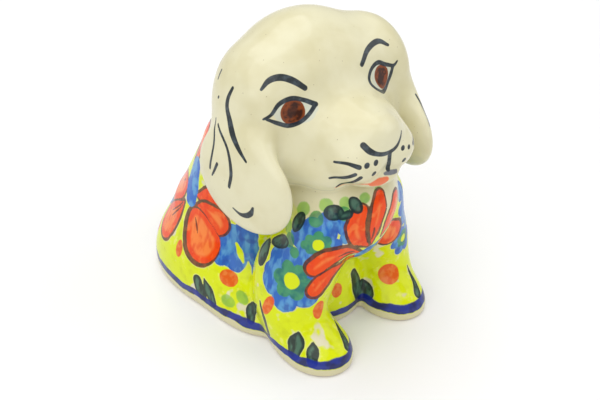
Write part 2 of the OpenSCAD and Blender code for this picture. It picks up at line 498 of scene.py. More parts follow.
def stroke(paint, path, radii, count=None):
    distance, middle, reach, _ = brush_line(path, radii, count)
    marks.append((paint, middle, reach, distance))


def tangents(c, angle):
    """At c on the skin: up turned by an angle in degrees, across from it, and the normal."""
    n = slope(c[None].astype(np.float32))[0]
    n /= np.linalg.norm(n)
    up = np.array([0, 0, 1.0]) - n * n[2]
    if np.linalg.norm(up) < 0.2:
        up = np.array([0, 1.0, 0]) - n * n[1]
    up /= np.linalg.norm(up)
    across = np.cross(up, n)
    a = math.radians(angle)
    return up * math.cos(a) + across * math.sin(a), across * math.cos(a) - up * math.sin(a), n


def dab(paint, c, half_long, half_wide, angle=0.0):
    """An oval brush dab: its long half size, its wide one, and its turn from upright."""
    c = on_skin(c)[0]
    basis = np.array(tangents(c, angle), np.float32)
    sizes = np.array([half_long, half_wide, max(half_long, half_wide) + DAB_DEPTH],
                     np.float32)

    def distance(p):
        q = (p - c) @ basis.T
        k0 = np.sqrt(((q / sizes) ** 2).sum(-1)) + 1e-9
        k1 = np.sqrt(((q / sizes ** 2) ** 2).sum(-1)) + 1e-9
        return k0 * (k0 - 1) / k1

    marks.append((paint, c, max(half_long, half_wide) + PAST_DAB, distance))


def petal(path, radii, edge, lean=0.0, veins=()):
    """An orange petal with a brown outline. Lean moves the orange sideways inside it, so that
    the outline is thicker on one side. Veins are thin brown lines across the orange."""
    outer, middle, reach, line = brush_line(path, radii, 10)
    inner_radii = [max(r - edge, 0.15) for r in radii]
    side = np.cross(line[-1] - line[0], slope(line[len(line) // 2][None])[0])
    side /= np.linalg.norm(side) + 1e-9
    inner, _, _, _ = brush_line(np.array(path, float) + side * lean, inner_radii, 10)
    marks.append(("petal", middle, reach, (outer, inner)))
    for vein in veins:
        stroke("brown", vein, (0.3, 0.55, 0.25))


def ring_of(c, radius, count, start):
    """Points around c on the skin."""
    c = on_skin(c)[0]
    up, across, _ = tangents(c, 0)
    for k in range(count):
        a = math.radians(start) + 2 * math.pi * k / count
        yield c + up * radius * math.cos(a) + across * radius * math.sin(a)


def daisy(c, size=1.0, start=0.0):
    """A blue daisy: broad blue petals, a green ring and a yellow middle."""
    dab("blue", c, 8.5 * size, 8.5 * size)
    for at in ring_of(c, 7.6 * size, 6, start):
        dab("blue", at, 4.4 * size, 4.4 * size)
    for at in ring_of(c, 4.4 * size, 6, start + 20):
        dab("green", at, 2.7 * size, 2.5 * size)
    dab("centre", c, 2.9 * size, 2.7 * size)


def leaf(foot, tip, half_wide):
    """A dark pointed leaf that grows from its foot."""
    stroke("leaf", [foot, [(a + b) / 2 for a, b in zip(foot, tip)], tip],
           (half_wide * 0.75, half_wide, 0.25))


def both(mark, *args):
    """The same mark on both sides of the head, from the places on its right side."""
    mark(*args)
    paint, path, *rest = args
    if isinstance(path[0], (tuple, list)):
        mark(paint, [(-x, y, z) for x, y, z in path], *rest)
    else:
        mark(paint, (-path[0], *path[1:]), *rest)


# Face: brows, eyes, nose, mouth and whiskers.
stroke("ink", [(-29.3, -13, 107.2), (-26.3, -13.4, 109.7), (-22.7, -14.8, 110.3),
               (-19.2, -16.8, 108.8), (-15.5, -18.7, 105.6)], (0.45, 0.95, 1.15, 1.15, 0.9))
stroke("ink", [(9.9, -18.9, 106.5), (14.5, -16.8, 109.7), (20.9, -15.7, 111), (24.6, -17, 108.9)],
       (0.85, 1.0, 1.0, 0.5))
dab("eye_white", (-20.5, -18.9, 98.7), 4.4, 7.6, 8)
dab("eye_white", (-15.6, -20.6, 99.2), 2.2, 3.6, 20)
dab("iris", (-21.2, -19.3, 98.7), 4.45, 4.45)
stroke("ink", [(-31.6, -16.8, 98.3), (-28.6, -17.3, 99.4), (-25.4, -17.5, 102.4),
               (-21.1, -18.6, 103.5), (-16.8, -19.7, 102), (-13, -21.5, 99.7)],
       (0.35, 0.6, 0.75, 0.8, 0.7, 0.85))
stroke("ink", [(-13, -21.5, 99.7), (-15.9, -21.6, 96.8), (-19.2, -20.9, 94.8),
               (-23.4, -19.6, 94.3), (-27, -18.2, 96), (-30.4, -17, 98)],
       (0.7, 0.65, 0.65, 0.75, 0.7, 0.4))
dab("eye_white", (18.2, -19.6, 99.6), 4.5, 5.6)
dab("iris", (18.9, -19.9, 99.4), 4.4, 3.9)
stroke("ink", [(11.3, -21.4, 97.9), (11.6, -20.9, 101), (14.2, -19.6, 103.7),
               (18.2, -18.9, 104.8), (21.6, -19.2, 103.2), (25.4, -19.2, 101.9),
               (27.2, -18.8, 103)], (0.65, 0.7, 0.75, 0.75, 0.7, 0.55, 0.3))
stroke("ink", [(11.3, -21.4, 97.9), (13, -23, 96.4), (16.5, -23, 94.8), (20.9, -21, 94.7),
               (23.6, -19.8, 97.6), (25.2, -19.3, 101.6)], (0.65, 0.7, 0.75, 0.8, 0.7, 0.5))
stroke("ink", [(-9.4, -42.2, 91.4), (-8.1, -44, 89.5), (-5.7, -45.1, 88), (-2.7, -45.4, 87),
               (0.3, -45.2, 86.7), (2.9, -45.4, 87.6), (5, -45.1, 89.5), (7, -43.9, 91.8)],
       (1.05, 1.05, 0.75, 0.75, 0.85, 0.7, 0.5, 0.3), 30)
stroke("ink", [(0.2, -45.2, 86.4), (0.6, -44.7, 82.7), (1, -44.1, 78.9)], (0.9, 0.75, 0.8))
stroke("lip", [(-1, -44.6, 78), (1.2, -44.9, 77.9), (4.4, -45, 77.3)], (0.6, 1.0, 0.8))
stroke("tongue", [(-6.6, -44, 75.7), (-3.8, -45.3, 76.2), (-1.2, -45.8, 76.6)], (0.9, 1.7, 1.0))
both(stroke, "ink", [(-17.4, -36.4, 85.4), (-15.3, -40.8, 86), (-12.6, -44, 84.9)],
     (0.35, 0.5, 0.8))
both(stroke, "ink", [(-17.7, -34.8, 78.3), (-16, -39.8, 80.2), (-13.9, -43.5, 82.3)],
     (0.35, 0.65, 0.7))
both(stroke, "ink", [(-15.2, -36, 73.6), (-14.4, -40, 76.8), (-12.1, -44.2, 80.8)],
     (0.3, 0.55, 0.8))
for place, size in (((-6.6, -45.8, 85.2), 0.95), ((-10.2, -45.2, 85.2), 0.95),
                    ((-7.3, -45.8, 81.2), 0.85), ((6.2, -45.5, 86.1), 0.85),
                    ((9.3, -45.4, 85.3), 0.75), ((6.9, -45.8, 81.1), 0.8)):
    dab("ink", place, size * 1.15, size, 40)
stroke("tongue", [(-15.4, -35.2, 73), (-12.4, -40.8, 75.4), (-7.4, -44.2, 75.8)],
       (0.15, 0.35, 0.5))

# Ears.
both(stroke, "ink", [(-33.9, -3.4, 105.6), (-35.4, -2.3, 101.1), (-36.3, -3.2, 97.1),
                     (-38.3, -7.9, 92.1), (-39.4, -12.5, 88.3), (-39.5, -17, 84.9)],
     (0.55, 0.85, 1.05, 1.15, 0.8, 0.35))
both(stroke, "ink", [(-38.1, 0.5, 91.6), (-40.6, -7.8, 86.7), (-42, -11.5, 79.4),
                     (-42.8, -11.1, 73.4)], (0.35, 0.5, 0.75, 0.6))
both(stroke, "ink", [(-36.7, 3.6, 92.1), (-40.9, -0.6, 85.9), (-43, -0.3, 76.1)],
     (0.35, 0.45, 0.5))
both(stroke, "ink", [(-42.6, -4.2, 79.4), (-43, -3, 76.4), (-43.3, -1.7, 73.9)], (0.6, 0.5, 0.3))
both(stroke, "ink", [(-42.6, -12.6, 65.4), (-42, -15.8, 64.2), (-41.6, -18.7, 64.8),
                     (-41.1, -21, 66.8), (-40.9, -21.9, 69.4)], (0.3, 0.7, 1.0, 0.95, 0.4))
both(stroke, "ink", [(-33.5, 7.5, 109), (-34.5, 7.3, 105.5)], (0.5, 0.35))
both(dab, "ink", (-35.2, 3.3, 99.9), 0.75, 0.45, 30)

# The far ear's front edge.
stroke("ink", [(34.5, -23.5, 88.5), (35.6, -25.8, 85), (35.8, -28.8, 81.6), (35, -31, 78.6)],
       (0.35, 0.7, 0.85, 0.6))

# Right flank: an orange flower with a blue heart, half under the ear.
petal([(-26.4, 36, 55.5), (-23.4, 36.4, 61), (-20.6, 35, 66)], (1.6, 5.2, 6.6), 1.2, 0.2,
      [[(-25.6, 36, 57.6), (-23.6, 36, 61), (-21.8, 35, 64.6)],
       [(-26.6, 33.4, 57), (-25.4, 31, 61), (-24, 29, 64.6)]])
stroke("brown", [(-27.4, 36.4, 52.6), (-26.2, 39.4, 54.8), (-23.8, 40, 58.6), (-21.4, 38.4, 63.4)],
       (0.5, 1.0, 1.1, 0.8))
stroke("brown", [(-27.8, 35.4, 51.2), (-28.6, 38.4, 47.6)], (0.7, 0.9))
stroke("brown", [(-29.6, 36.8, 45), (-28.6, 42, 40), (-27.6, 47.4, 34.6)], (0.7, 1.1, 0.9))
petal([(-29.4, 38, 44.6), (-27.6, 43.6, 41.4), (-25.4, 48.4, 38)], (1.8, 6.6, 8.4), 1.1, 0.2,
      [[(-27.2, 43.4, 44.2), (-26.8, 44.6, 43.4), (-26.4, 45.8, 42.6)]])
petal([(-31.5, 37.2, 38), (-32.6, 42, 31), (-32.6, 47.4, 24)], (1.4, 5.8, 8.8), 1.2, 0.2,
      [[(-31.2, 38.4, 37), (-31, 42, 32.6), (-30, 46, 28.4)],
       [(-31.8, 38.2, 36), (-32.2, 41.6, 31.6), (-31.8, 45, 27.4)]])
petal([(-31.4, 28, 46), (-31.4, 20, 48), (-30.6, 14, 50)], (1.2, 5.4, 6.0), 1.1, 0.2)
petal([(-32.2, 27.2, 41.6), (-31.8, 21, 41.2), (-31, 15.6, 40)], (1.2, 5.6, 7.0), 1.1, 0.3,
      [[(-32.2, 25.6, 41), (-31.9, 22.5, 39.9), (-31.8, 21, 39.2)]])
petal([(-32.4, 29.2, 39), (-34, 25.6, 33.6), (-35.3, 22, 28.6)], (1.8, 8.4, 10.6), 1.6, -1.3,
      [[(-33.6, 26.8, 36.4), (-34.2, 25.4, 33.8), (-34.9, 24, 31)]])
stroke("centre", [(-31.4, 31.2, 40.6), (-32, 30.6, 39.2)], (1.4, 1.1))
stroke("heart", [(-27.2, 33.8, 53.4), (-29.7, 33.2, 47.8), (-31.2, 32.4, 43)], (5.2, 5.8, 4.4))
dab("blue", (-29.4, 8.4, 32), 9, 7.5)
for place in ((-29.9, 11.5, 37), (-26.4, 5, 37.5), (-32.6, 10.6, 27.4), (-29.9, 4.4, 26.6),
              (-25.6, 2.5, 31)):
    dab("blue", place, 4.6, 4.2)
stroke("blue", [(-25.2, 1.5, 40), (-25.4, 0.6, 31), (-28, -3.4, 24)], (2.6, 2.6, 0.9))
stroke("centre", [(-28.3, 6.6, 32.6), (-28.4, 2.2, 26.2)], (0.5, 1.2, 0.35))
dab("dot", (-34.2, 4.3, 20.2), 3.4, 4.3)
dab("dot", (-38.2, 32.6, 20.6), 3.9, 2.2)
stroke("leaf", [(-39.3, 18.8, 12.8), (-39.5, 16.3, 7.4)], (2.6, 3.0))
leaf((-38.4, 9.6, 7), (-38.7, 15.4, 15.6), 2.7)
stroke("leaf", [(-34.6, -14, 18.6), (-34.3, -8.6, 12.6), (-34, -9, 7.2)], (0.5, 2.6, 1.6))
stroke("leaf", [(-35, -16.6, 22.3), (-35.4, -19.4, 16), (-34.4, -20, 8)], (0.4, 0.9, 1.1))
dab("lime", (-36.7, 2.2, 11.4), 2.6, 3.4)
dab("lime", (-33.6, -3.4, 15), 2.4, 3.2, 40)

# Chest and forelegs: daisies, blots round the neck, and the orange bow of petals.
daisy((-29.3, -28.6, 36.2), 1.15, 15)
daisy((-22.1, -34.6, 52.2), 0.78, 40)
for place, size in (((-28.6, -25.6, 44.4), 5.2), ((-25.6, -28.7, 54), 4.6),
                    ((-17.8, -35.2, 60), 4.4), ((-13, -38.3, 59), 4.2), ((-22.3, -31.5, 58), 4.0),
                    ((-12.4, -39.6, 54), 3.2), ((-27.4, -21, 42.4), 4.2), ((-32.6, -20, 37), 4.0),
                    ((-33.4, -21, 31.5), 3.4)):
    dab("blue", place, size, size)
for place, size in (((-20.7, -31.6, 61), 3.0), ((-26.8, -24.2, 50.8), 2.9),
                    ((-27.4, -27.5, 47.4), 2.2), ((-12.4, -37, 62.6), 2.6), ((-9, -38.8, 62), 2.3),
                    ((-24.6, -30.4, 51.4), 1.7)):
    dab("green", place, size, size * 0.9)
for place, size in (((-22, -25.8, 62.8), 2.7), ((-25, -21, 54.8), 2.9), ((-16.4, -32, 65.2), 2.5),
                    ((-4.4, -38.8, 66.6), 2.2), ((-11.1, -36.2, 66), 2.2), ((2, -38.6, 66.8), 2.0)):
    dab("lime", place, size, size)
dab("leaf", (-24.3, -26, 58.5), 4.2, 2.6, 12)
dab("leaf", (-26.7, -19.2, 47.4), 5.4, 2.7, 62)
dab("leaf", (-29.6, -12.8, 40.4), 5.6, 3.2, -14)
dab("leaf", (-8.2, -38.4, 65.1), 3.5, 2.4, -30)
dab("leaf", (-15.4, -34.9, 63.1), 2.9, 3.7)
stroke("leaf", [(-13.4, -36.6, 61.6), (-11.2, -38, 62.2)], (1.3, 1.6))

petal([(3.4, -40.2, 48), (7.4, -40.6, 54), (12, -38.8, 58)], (1.0, 4.4, 5.6), 1.1)
petal([(2.6, -39, 44.8), (9, -36.6, 42.4), (16.6, -32, 38.4)], (1.2, 5.2, 7.0), 1.1, 0.2)
for place in ((22, -30.4, 48), (24, -28, 42), (20, -32, 56), (25, -24, 50)):
    dab("blue", place, 4.4, 3.8)
petal([(-2.6, -39.4, 45.6), (-7.6, -40, 51), (-9.6, -40.4, 57), (-7, -39.8, 62.6)],
      (1.2, 4.2, 4.6, 3.4), 1.1, 0.2)
petal([(-1.4, -39.8, 46), (-1.6, -41.4, 55), (0.4, -41.2, 61.5), (2, -39.8, 65.6)],
      (1.1, 3.6, 4.4, 3.0), 1.0, 0.2,
      [[(-1.8, -40.6, 49), (-1.6, -41, 52), (-1.7, -41.4, 54.4)],
       [(0.9, -40.4, 49.4), (1.4, -41.2, 52.4), (1.8, -41.4, 55.4)]])
stroke("brown", [(-3.2, -40, 48), (-4.7, -41.2, 54), (-4.4, -41.3, 59), (-2.2, -40.4, 64.4)],
       (0.5, 1.0, 1.1, 0.6))
petal([(-4.6, -37.8, 43), (-13, -38, 47), (-19.6, -36.4, 46.4), (-23.6, -34.6, 43)],
      (1.2, 3.6, 4.8, 4.4), 1.3, -0.5,
      [[(-7.6, -37.8, 44.2), (-11.6, -38, 45.6), (-15.6, -37.8, 46)]])
petal([(-3.4, -36.8, 39.6), (-10.4, -36.8, 40.6), (-16, -37, 40.6)], (0.8, 2.2, 2.2), 0.7)
petal([(-11, -36.6, 40.6), (-17, -37, 39.2), (-21, -36, 36), (-23.4, -35, 32.6)],
      (1.0, 3.2, 4.4, 4.2), 1.2, 0.3)
stroke("heart", [(1.8, -38.6, 44.2), (-1.4, -38, 42.6), (-4.4, -37.2, 40.8)], (1.5, 2.4, 1.9))
dab("dot", (-35.0, -21.2, 23), 4.8, 2.2, 22)
dab("dot", (-21.5, -34.5, 22.6), 4.0, 2.5, 8)
dab("dot", (-4.1, -25.3, 16.8), 3.2, 2.4)
dab("dot", (19, -30.2, 16.5), 4.2, 4.3)
leaf((-33.2, -34, 7), (-30.2, -33.4, 15.4), 3.5)
leaf((-30.2, -41.4, 6), (-27.6, -38.6, 12.6), 2.6)
stroke("leaf", [(-13, -34.6, 13), (-14.6, -40, 11), (-15.8, -44.6, 8.2)], (0.4, 1.4, 2.0))
stroke("leaf", [(29.4, -32, 17), (28.6, -35.6, 12), (26, -39.6, 8.6)], (0.3, 1.3, 2.0))
stroke("leaf", [(5.4, -25, 20.5), (6.8, -24.8, 14), (8.6, -25.2, 8)], (1.8, 3.2, 3.0))
stroke("leaf", [(10, -26, 13), (12, -27, 8)], (1.8, 2.4))

# Left side: the same kinds of mark, in places of their own.
daisy((30.4, -22, 44), 1.0, 0)
daisy((26.6, -31.6, 30.8), 0.62, 25)
for turn in range(6):
    a = math.radians(turn * 60 + 14)
    reach_y, reach_z = math.cos(a), math.sin(a)
    petal([(31.5, 27 + 3.4 * reach_y, 43 + 3.4 * reach_z),
           (33, 27 + 9 * reach_y, 43 + 9 * reach_z),
           (33, 27 + 14.5 * reach_y, 43 + 14 * reach_z)], (1.2, 4.4, 4.8), 0.85, 0.25,
          [[(32, 27 + 5 * reach_y, 43 + 5 * reach_z), (33, 27 + 7.4 * reach_y, 43 + 7.2 * reach_z),
            (33, 27 + 9.4 * reach_y, 43 + 9 * reach_z)]])
dab("heart", (32, 27, 43), 3.4, 3.0)
for place, size in (((30, 2, 40), 5), ((32, 6, 33), 5), ((34, 5, 25), 4), ((28, -6, 46), 4.6),
                    ((28.6, -3, 33), 4.2), ((29, -14, 52), 4.4)):
    dab("blue", place, size, size * 0.9)
stroke("centre", [(31, 4, 36), (33, 7, 28)], (0.5, 1.2, 0.4))
for place, long, wide in (((36, 6, 17), 3.6, 4.2), ((34.6, -24, 20), 4.4, 2.4),
                          ((38.6, 40, 17), 4.2, 3.0), ((36.4, -2, 14.6), 3.2, 2.4)):
    dab("dot", place, long, wide)
for y in (-4, 8, 15, 30, 37, 50):
    leaf((38.6, y, 6.8), (38, y + 3.4, 15), 2.2)
for place, turn in (((26.5, -14, 57), 20), ((28, -2, 56), -30), ((31, -12, 36.5), 10)):
    dab("leaf", place, 3.8, 2.0, turn)
for place in ((25, -22, 60), (28.6, 4, 58), (28.6, 12, 59)):
    dab("lime", place, 2.8, 2.8)
for place in ((27.6, -20.4, 56.6), (29, 0, 50)):
    dab("green", place, 2.8, 2.5)

# Back: one large orange flower, three daisies and the leaves along the foot.
BACK_Y = 60
for turn in range(5):
    a = math.radians(turn * 72 + 90)
    reach_x, reach_z = math.cos(a), math.sin(a)
    petal([(3.4 * reach_x, 62, 34 + 3.4 * reach_z), (9.5 * reach_x, BACK_Y, 34 + 9.5 * reach_z),
           (15 * reach_x, BACK_Y, 34 + 14.5 * reach_z)], (1.2, 5.0, 5.6), 0.9, 0.3,
          [[(5 * reach_x, 62, 34 + 5 * reach_z), (7.4 * reach_x, 61, 34 + 7.4 * reach_z),
            (9.6 * reach_x, BACK_Y, 34 + 9.6 * reach_z)]])
dab("heart", (0, 62, 34), 3.6, 3.4)
daisy((-24, 55, 33), 0.74, 10)
daisy((25, 53, 31), 0.74, 35)
for place, size in (((-16, 50, 54), 5), ((15, 50, 54), 5), ((0, 44, 60), 4.4), ((-8, 47, 58), 4),
                    ((8, 47, 58), 4), ((22, 44, 46), 4.4), ((-30, 50, 26), 3.4)):
    dab("blue", place, size, size * 0.85)
for place, long, wide in (((-14, 68, 15), 3.8, 3.2), ((14, 67, 18), 3.8, 3.2),
                          ((-30, 58, 15), 3.6, 2.8), ((31, 57, 15), 3.6, 2.8)):
    dab("dot", place, long, wide)
for x in (-27, -18, -8, 27):
    leaf((x, 70 - abs(x) * 0.3, 6.8), (x + 2.6, 68 - abs(x) * 0.25, 15.5), 2.3)
for place, turn in (((-10, 42, 62.4), 50), ((10, 42, 62.4), -50)):
    dab("leaf", place, 3.6, 2.0, turn)
for place in ((0, 38, 65), (-15, 36, 64), (15, 36, 64)):
    dab("lime", place, 2.8, 2.6)
daisy((0, 36, 72), 0.7, 20)
for place, size in (((-9, 34, 70), 3.4), ((9, 34, 70), 3.4), ((-19, 30, 66), 4.0),
                    ((19, 30, 66), 4.0), ((-15, 30, 72), 3.2), ((15, 30, 72), 3.2)):
    dab("blue", place, size, size * 0.9)
for place, turn in (((-9, 30, 79), 60), ((9, 30, 79), -60), ((-21, 24, 71), 30), ((21, 24, 71), -30),
                    ((0, 31, 81), 90)):
    dab("leaf", place, 3.2, 1.9, turn)
for place in ((-14, 28, 77), (14, 28, 77), (-4, 31, 80), (4, 31, 80)):
    dab("green", place, 2.4, 2.2)


def painted(mesh, at):
    """Writes into the mesh's own attributes each vertex's place on the form, and its distance to
    the nearest mark of each paint."""
    layers = {name: np.full(len(at), FAR, np.float32) for name in PAINTS}
    for paint, centre, reach, distance in marks:
        near = np.flatnonzero(((at - centre) ** 2).sum(1) < reach * reach)
        if not len(near):
            continue
        if paint == "petal":
            outer, inner = (f(at[near]) for f in distance)
            brown, orange = layers["brown"], layers["orange"]
            brown[near] = np.minimum(np.maximum(brown[near], -outer), np.maximum(outer, -inner))
            orange[near] = np.minimum(np.maximum(orange[near], -outer), inner)
        else:
            layers[paint][near] = np.minimum(layers[paint][near], distance(at[near]))
    for name, values in layers.items():
        mesh.attributes.new(name, "FLOAT", "POINT").data.foreach_set("value", values)
    form = mesh.attributes.new("form_place", "FLOAT_VECTOR", "POINT")
    form.data.foreach_set("vector", at.ravel())


# ---- materials ----

class Graph:
    """A node tree with short calls for the few kinds of node that it needs."""

    def __init__(self, name):
        self.material = bpy.data.materials.new(name)
        self.material.use_nodes = True
        self.tree = self.material.node_tree
        self.tree.nodes.clear()

    def node(self, kind, inputs=(), **settings):
        n = self.tree.nodes.new(kind)
        for key, value in settings.items():
            setattr(n, key, value)
        for key, value in dict(inputs).items():
            if isinstance(value, bpy.types.NodeSocket):
                self.tree.links.new(value, n.inputs[key])
            else:
                n.inputs[key].default_value = value
        return n

    def attribute(self, name):
        return self.node("ShaderNodeAttribute", attribute_name=name).outputs["Fac"]

    def math(self, operation, a, b):
        return self.node("ShaderNodeMath", {0: a, 1: b}, operation=operation).outputs[0]

    def ramp(self, value, low, high, to_low=0.0, to_high=1.0):
        """A smooth step of the value from low to high."""
        return self.node("ShaderNodeMapRange", {0: value, 1: low, 2: high, 3: to_low, 4: to_high},
                         interpolation_type="SMOOTHSTEP").outputs[0]

    def noise(self, place, scale, detail=2.0, rough=0.5):
        return self.node("ShaderNodeTexNoise", {"Vector": place, "Scale": scale, "Detail": detail,
                                                "Roughness": rough}).outputs["Fac"]

    def mix(self, share, a, b):
        n = self.node("ShaderNodeMix", data_type="RGBA")
        for index, value in ((0, share), (6, a), (7, b)):
            if isinstance(value, bpy.types.NodeSocket):
                self.tree.links.new(value, n.inputs[index])
            else:
                n.inputs[index].default_value = value
        return n.outputs[2]


def srgb(r, g, b):
    """A display colour of 0 to 255 as a linear one."""
    out = []
    for c in (r, g, b):
        c /= 255
        out.append(c / 12.92 if c <= 0.04045 else ((c + 0.055) / 1.055) ** 2.4)
    return (*out, 1.0)


CREAM = srgb(224, 219, 186)
CREAM_DEEP = srgb(214, 207, 168)
SPECK = srgb(120, 96, 60)
CLAY = srgb(226, 214, 184)
INK = srgb(30, 40, 50)
INK_THIN = srgb(66, 78, 88)
BROWN_IRIS = srgb(130, 62, 22)
BROWN_DARK = srgb(58, 25, 10)
EYE_WHITE = srgb(208, 210, 190)
TONGUE = srgb(234, 108, 66)
LIP = srgb(92, 98, 116)
YELLOW = srgb(218, 230, 0)
YELLOW_DEEP = srgb(206, 216, 0)
YELLOW_PALE = srgb(230, 234, 100)
BLUE = srgb(24, 98, 190)
BLUE_PALE = srgb(84, 154, 208)
BLUE_DEEP = srgb(20, 68, 164)
GREEN = srgb(72, 152, 74)
GREEN_DEEP = srgb(40, 118, 84)
LIME = srgb(172, 214, 50)
ORANGE = srgb(238, 74, 0)
ORANGE_PALE = srgb(244, 132, 58)
ORANGE_DEEP = srgb(224, 48, 0)
OUTLINE = srgb(118, 54, 22)
OUTLINE_DARK = srgb(74, 32, 14)
LEAF = srgb(22, 44, 46)
LEAF_PALE = srgb(70, 108, 92)
RED_DOT = srgb(226, 80, 20)
RED_PALE = srgb(232, 120, 56)
COBALT = srgb(26, 44, 146)
COBALT_DEEP = srgb(18, 24, 98)

# Heights and places of the washes, in millimetres.
YELLOW_NONE = 61.0       # at the front, the yellow fades out between these heights
YELLOW_FULL = 56.0
RISE_FROM = -4.0         # and its limit rises from this y to that one
RISE_TO = 26.0
YELLOW_RISE = 21.0
BARE_TOP = 4.0           # the bare strip ends and the cobalt line starts
LINE_TOP = 7.7
CLAY_TOP = 1.3           # the unglazed foot


def glaze(name, with_pattern, with_face):
    """Painted stoneware under a clear glaze, with the coat's pattern, the face or both."""
    g = Graph(name)
    place = g.node("ShaderNodeAttribute", attribute_name="form_place").outputs["Vector"]
    _, depth_y, height = g.node("ShaderNodeSeparateXYZ", {0: place}).outputs
    broad = g.noise(place, 0.06, 3.0)
    soft = g.noise(place, 0.22, 2.0, 0.5)
    fine = g.noise(place, 1.1, 3.0, 0.6)
    brushed = g.noise(place, 0.45, 2.0, 0.45)
    grain = g.noise(place, 4.0, 2.0)
    wobble = g.math("MULTIPLY", g.math("SUBTRACT", soft, 0.5), 1.1)
    shiver = g.math("MULTIPLY", g.math("SUBTRACT", fine, 0.5), 0.5)
    edge = g.math("ADD", wobble, shiver)

    def near(paint, rough=1.0, width=0.16, grow=0.0):
        """How much a paint covers: 1 inside its marks, with a brushed edge."""
        d = g.math("ADD", g.attribute(paint), g.math("MULTIPLY", edge, rough))
        return g.ramp(d, grow + width, grow - width)

    def rim(paint, depth):
        """1 at the edge of a mark, where paint pools, and 0 deeper inside it."""
        return g.ramp(g.math("ADD", g.attribute(paint), wobble), -depth, 0.0)

    colour = g.mix(g.ramp(broad, 0.35, 0.7), CREAM, CREAM_DEEP)
    colour = g.mix(g.math("MULTIPLY", g.ramp(fine, 0.5, 0.8), 0.12), colour, CREAM_DEEP)
    cells = g.node("ShaderNodeTexVoronoi", {"Vector": place, "Scale": 0.42, "Randomness": 1.0})
    few = g.math("GREATER_THAN", g.node("ShaderNodeSeparateColor", {0: cells.outputs["Color"]}
                                        ).outputs[0], 0.72)
    specks = g.math("MULTIPLY", g.ramp(cells.outputs["Distance"], 0.1, 0.04), few)
    colour = g.mix(g.math("MULTIPLY", specks, 0.55), colour, SPECK)

    if with_pattern:
        wash = g.noise(place, 0.12, 2.0)
        top = g.math("SUBTRACT", height, g.math("MULTIPLY", g.math("SUBTRACT", wash, 0.5), 16.0))
        top = g.math("SUBTRACT", top, g.ramp(depth_y, RISE_FROM, RISE_TO, 0.0, YELLOW_RISE))
        yellow = g.math("MULTIPLY", g.ramp(top, YELLOW_NONE, YELLOW_FULL), g.ramp(wash, 0.33, 0.40))
        gaps = None
        for paint in ("orange", "brown", "leaf", "blue"):
            halo = near(paint, 1.4, 0.5, 0.2)
            gaps = halo if gaps is None else g.math("MAXIMUM", gaps, halo)
        cover = g.math("MULTIPLY", yellow, g.math("SUBTRACT", 1.0, g.math("MULTIPLY", gaps, 0.6)))
        washes = g.mix(g.ramp(soft, 0.5, 0.75), YELLOW, YELLOW_DEEP)
        washes = g.mix(g.ramp(g.noise(place, 0.2, 3.0, 0.65), 0.55, 0.72), washes, YELLOW_PALE)
        colour = g.mix(cover, colour, washes)
        lime = g.math("MULTIPLY", near("lime", 1.0, 0.35), 0.8)
        colour = g.mix(lime, colour, g.mix(soft, LIME, GREEN))

        streak = g.node("ShaderNodeTexNoise", {
            "Vector": g.node("ShaderNodeVectorMath", {0: place, 1: (1.2, 1.2, 0.4)},
                             operation="MULTIPLY").outputs[0],
            "Scale": 0.36, "Detail": 2.0, "Roughness": 0.4}).outputs["Fac"]
        blues = g.mix(g.ramp(streak, 0.42, 0.66), BLUE, BLUE_PALE)
        blues = g.mix(g.math("MULTIPLY", g.ramp(soft, 0.54, 0.7), 0.7), blues, BLUE_DEEP)
        blues = g.mix(g.math("MULTIPLY", rim("blue", 1.2), 0.25), blues, BLUE_DEEP)
        colour = g.mix(g.math("MULTIPLY", near("blue", 1.2), 0.97), colour, blues)
        greens = g.mix(g.ramp(soft, 0.42, 0.62), GREEN, GREEN_DEEP)
        colour = g.mix(g.math("MULTIPLY", near("green", 0.8, 0.2), 0.85), colour, greens)
        colour = g.mix(near("centre", 0.8, 0.25), colour, YELLOW)

        dots = g.mix(g.ramp(brushed, 0.4, 0.66), RED_DOT, RED_PALE)
        dots = g.mix(g.math("MULTIPLY", rim("dot", 1.4), 0.25), dots, RED_DOT)
        colour = g.mix(g.math("MULTIPLY", near("dot", 0.6, 0.12), 0.95), colour, dots)

        depth = g.ramp(g.math("ADD", g.attribute("orange"), wobble), -4.6, -0.4)
        oranges = g.mix(g.ramp(depth, 0.1, 0.7), ORANGE_PALE, ORANGE)
        oranges = g.mix(g.ramp(streak, 0.45, 0.72, 0.0, 0.6), oranges, ORANGE_DEEP)
        oranges = g.mix(g.math("MULTIPLY", g.ramp(soft, 0.56, 0.7), 0.6), oranges, ORANGE_PALE)
        colour = g.mix(near("orange", 0.35, 0.12, 0.15), colour, oranges)
        browns = g.mix(g.ramp(brushed, 0.38, 0.62), OUTLINE, OUTLINE_DARK)
        colour = g.mix(g.math("MULTIPLY", near("brown", 0.45, 0.12), 0.94), colour, browns)
        hearts = g.mix(g.ramp(soft, 0.4, 0.6), BLUE, BLUE_PALE)
        colour = g.mix(near("heart", 0.8, 0.18), colour, hearts)

        leaves = g.mix(g.ramp(g.math("ADD", g.attribute("leaf"), shiver), -0.4, -1.6),
                       LEAF, LEAF_PALE)
        leaves = g.mix(g.ramp(streak, 0.4, 0.6), LEAF, leaves)
        colour = g.mix(g.math("MULTIPLY", near("leaf", 0.6, 0.12), 0.97), colour, leaves)

